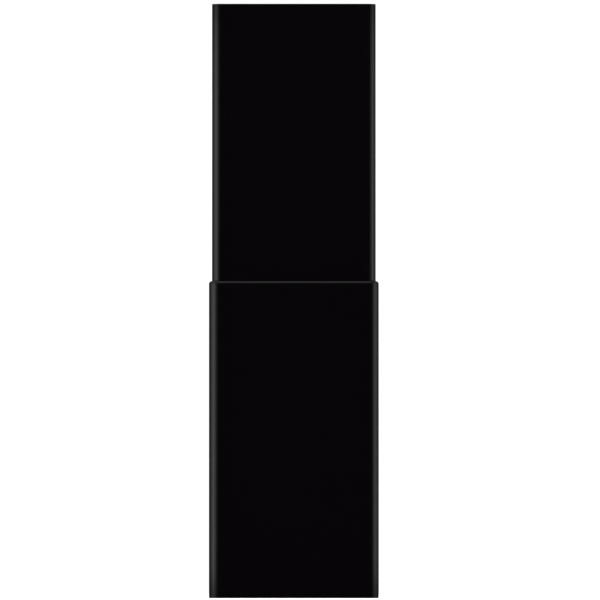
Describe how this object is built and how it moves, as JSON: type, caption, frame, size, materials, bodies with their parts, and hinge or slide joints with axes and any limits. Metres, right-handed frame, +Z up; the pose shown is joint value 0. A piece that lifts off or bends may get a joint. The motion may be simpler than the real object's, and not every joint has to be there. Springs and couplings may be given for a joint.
{
  "type": "lipstick case",
  "caption": "Square swivel lipstick case: a lift-off cap over a metal collar that turns in a square base and winds the bullet up and down.",
  "frame": {"origin": "centre of the base's underside", "axes": "+Z up, from the base towards the cap; the front faces -Y; +X to the right seen from the front"},
  "size_m": [0.021, 0.021, 0.0735],
  "materials": {
    "case_plastic": "moulded black ABS, high gloss",
    "label_paper": "blank paper sticker",
    "weight_steel": "zinc-plated steel plate",
    "insert_plastic": "moulded black ABS, satin",
    "guide_plastic": "moulded black acetal",
    "brake_silicone": "translucent silicone rubber",
    "spiral_plastic": "moulded natural acetal",
    "collar_metal": "bright silver anodised aluminium",
    "cup_plastic": "moulded black polypropylene",
    "bullet_wax": "rose-red moulded lipstick, satin",
    "liner_plastic": "moulded black polypropylene"
  },
  "bodies": {
    "base": {"base_shell": "case_plastic", "bottom_label": "label_paper", "base_weight": "weight_steel", "base_insert": "insert_plastic", "guide_tube": "guide_plastic", "brake_band": "brake_silicone"},
    "collar": {"collar": "collar_metal", "spiral_sleeve": "spiral_plastic"},
    "cup": {"elevator_cup": "cup_plastic", "bullet": "bullet_wax"},
    "cap": {"cap_shell": "case_plastic", "cap_liner": "liner_plastic"}
  },
  "joints": [
    {"name": "cap_lift", "type": "slide", "parent": "base", "child": "cap", "axis": [0, 0, 1], "range_m": [0, 0.04]},
    {"name": "collar_turn", "type": "hinge", "parent": "base", "child": "collar", "pos_m": [0, 0, 0], "axis": [0, 0, 1], "range_deg": [0, 540]},
    {"name": "cup_rise", "type": "slide", "parent": "base", "child": "cup", "axis": [0, 0, 1], "range_m": [0, 0.0274]}
  ],
  "couplings": [
    {"joint": "cup_rise", "follows": "collar_turn", "m_per_rad": 0.0029072}
  ]
}
